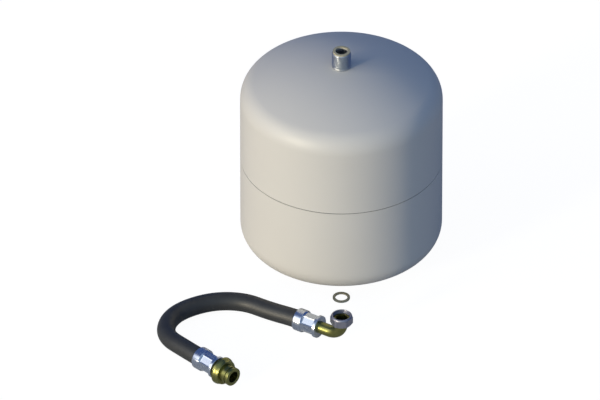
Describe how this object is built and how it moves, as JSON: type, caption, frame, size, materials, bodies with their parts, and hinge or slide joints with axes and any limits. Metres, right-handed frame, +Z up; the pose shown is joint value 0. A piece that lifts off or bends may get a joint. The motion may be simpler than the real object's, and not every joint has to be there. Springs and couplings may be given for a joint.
{
  "type": "buffer tank",
  "caption": "Upright round diaphragm buffer tank with a threaded water stub on top and a gas valve in a pocket underneath, with its loose crimped hose, union elbow and plug-in nipple.",
  "frame": {"origin": "on the floor under the middle of the tank, at the flat ring the tank stands on", "axes": "+Z up along the tank's axis and the water stub, -Y toward the hose that lies in front, +X to the right as seen from the front"},
  "size_m": [0.3953, 0.481, 0.3348],
  "materials": {
    "vessel_paint": "satin powder coat",
    "zinc_steel": "zinc plated",
    "plain_steel": "plain pressed steel",
    "yellow_zinc": "yellow chromated zinc, turned",
    "lilac_zinc": "grey zinc plating, turned",
    "spring_steel": "drawn wire",
    "brass": "turned",
    "hose_rubber": "satin black",
    "skin_rubber": "matt black",
    "seal_rubber": "matt black",
    "seal_fibre": "pressed fibre",
    "cap_plastic": "moulded black"
  },
  "bodies": {
    "tank": {"upper_shell": "vessel_paint", "lower_shell": "vessel_paint", "seam_weld": "plain_steel", "water_stub": "zinc_steel", "stub_seal": "seal_fibre", "union_seal": "seal_fibre", "diaphragm": "skin_rubber", "clamp_ring": "plain_steel", "valve_body": "brass", "valve_core": "brass", "valve_spring": "spring_steel", "hose": "hose_rubber", "elbow_ferrule": "zinc_steel", "plug_ferrule": "zinc_steel", "elbow_pipe": "yellow_zinc", "plug": "yellow_zinc"},
    "union_nut": {"union_nut": "lilac_zinc"},
    "valve_cap": {"valve_cap": "cap_plastic", "cap_seal": "seal_rubber"},
    "valve_pin": {"valve_pin": "brass", "pin_seal": "seal_rubber"}
  },
  "joints": [
    {"name": "union_nut_turn", "type": "hinge", "parent": "tank", "child": "union_nut", "pos_m": [0, -0.2277, 0.0435], "axis": [0, 0, 1], "continuous": true},
    {"name": "valve_cap_turn", "type": "hinge", "parent": "tank", "child": "valve_cap", "pos_m": [0, 0, 0.0135], "axis": [0, 0, 1], "continuous": true},
    {"name": "valve_press", "type": "slide", "parent": "tank", "child": "valve_pin", "axis": [0, 0, 1], "range_m": [0, 0.0012], "stiffness_N_per_m": 300, "deforming": ["valve_spring"]}
  ]
}
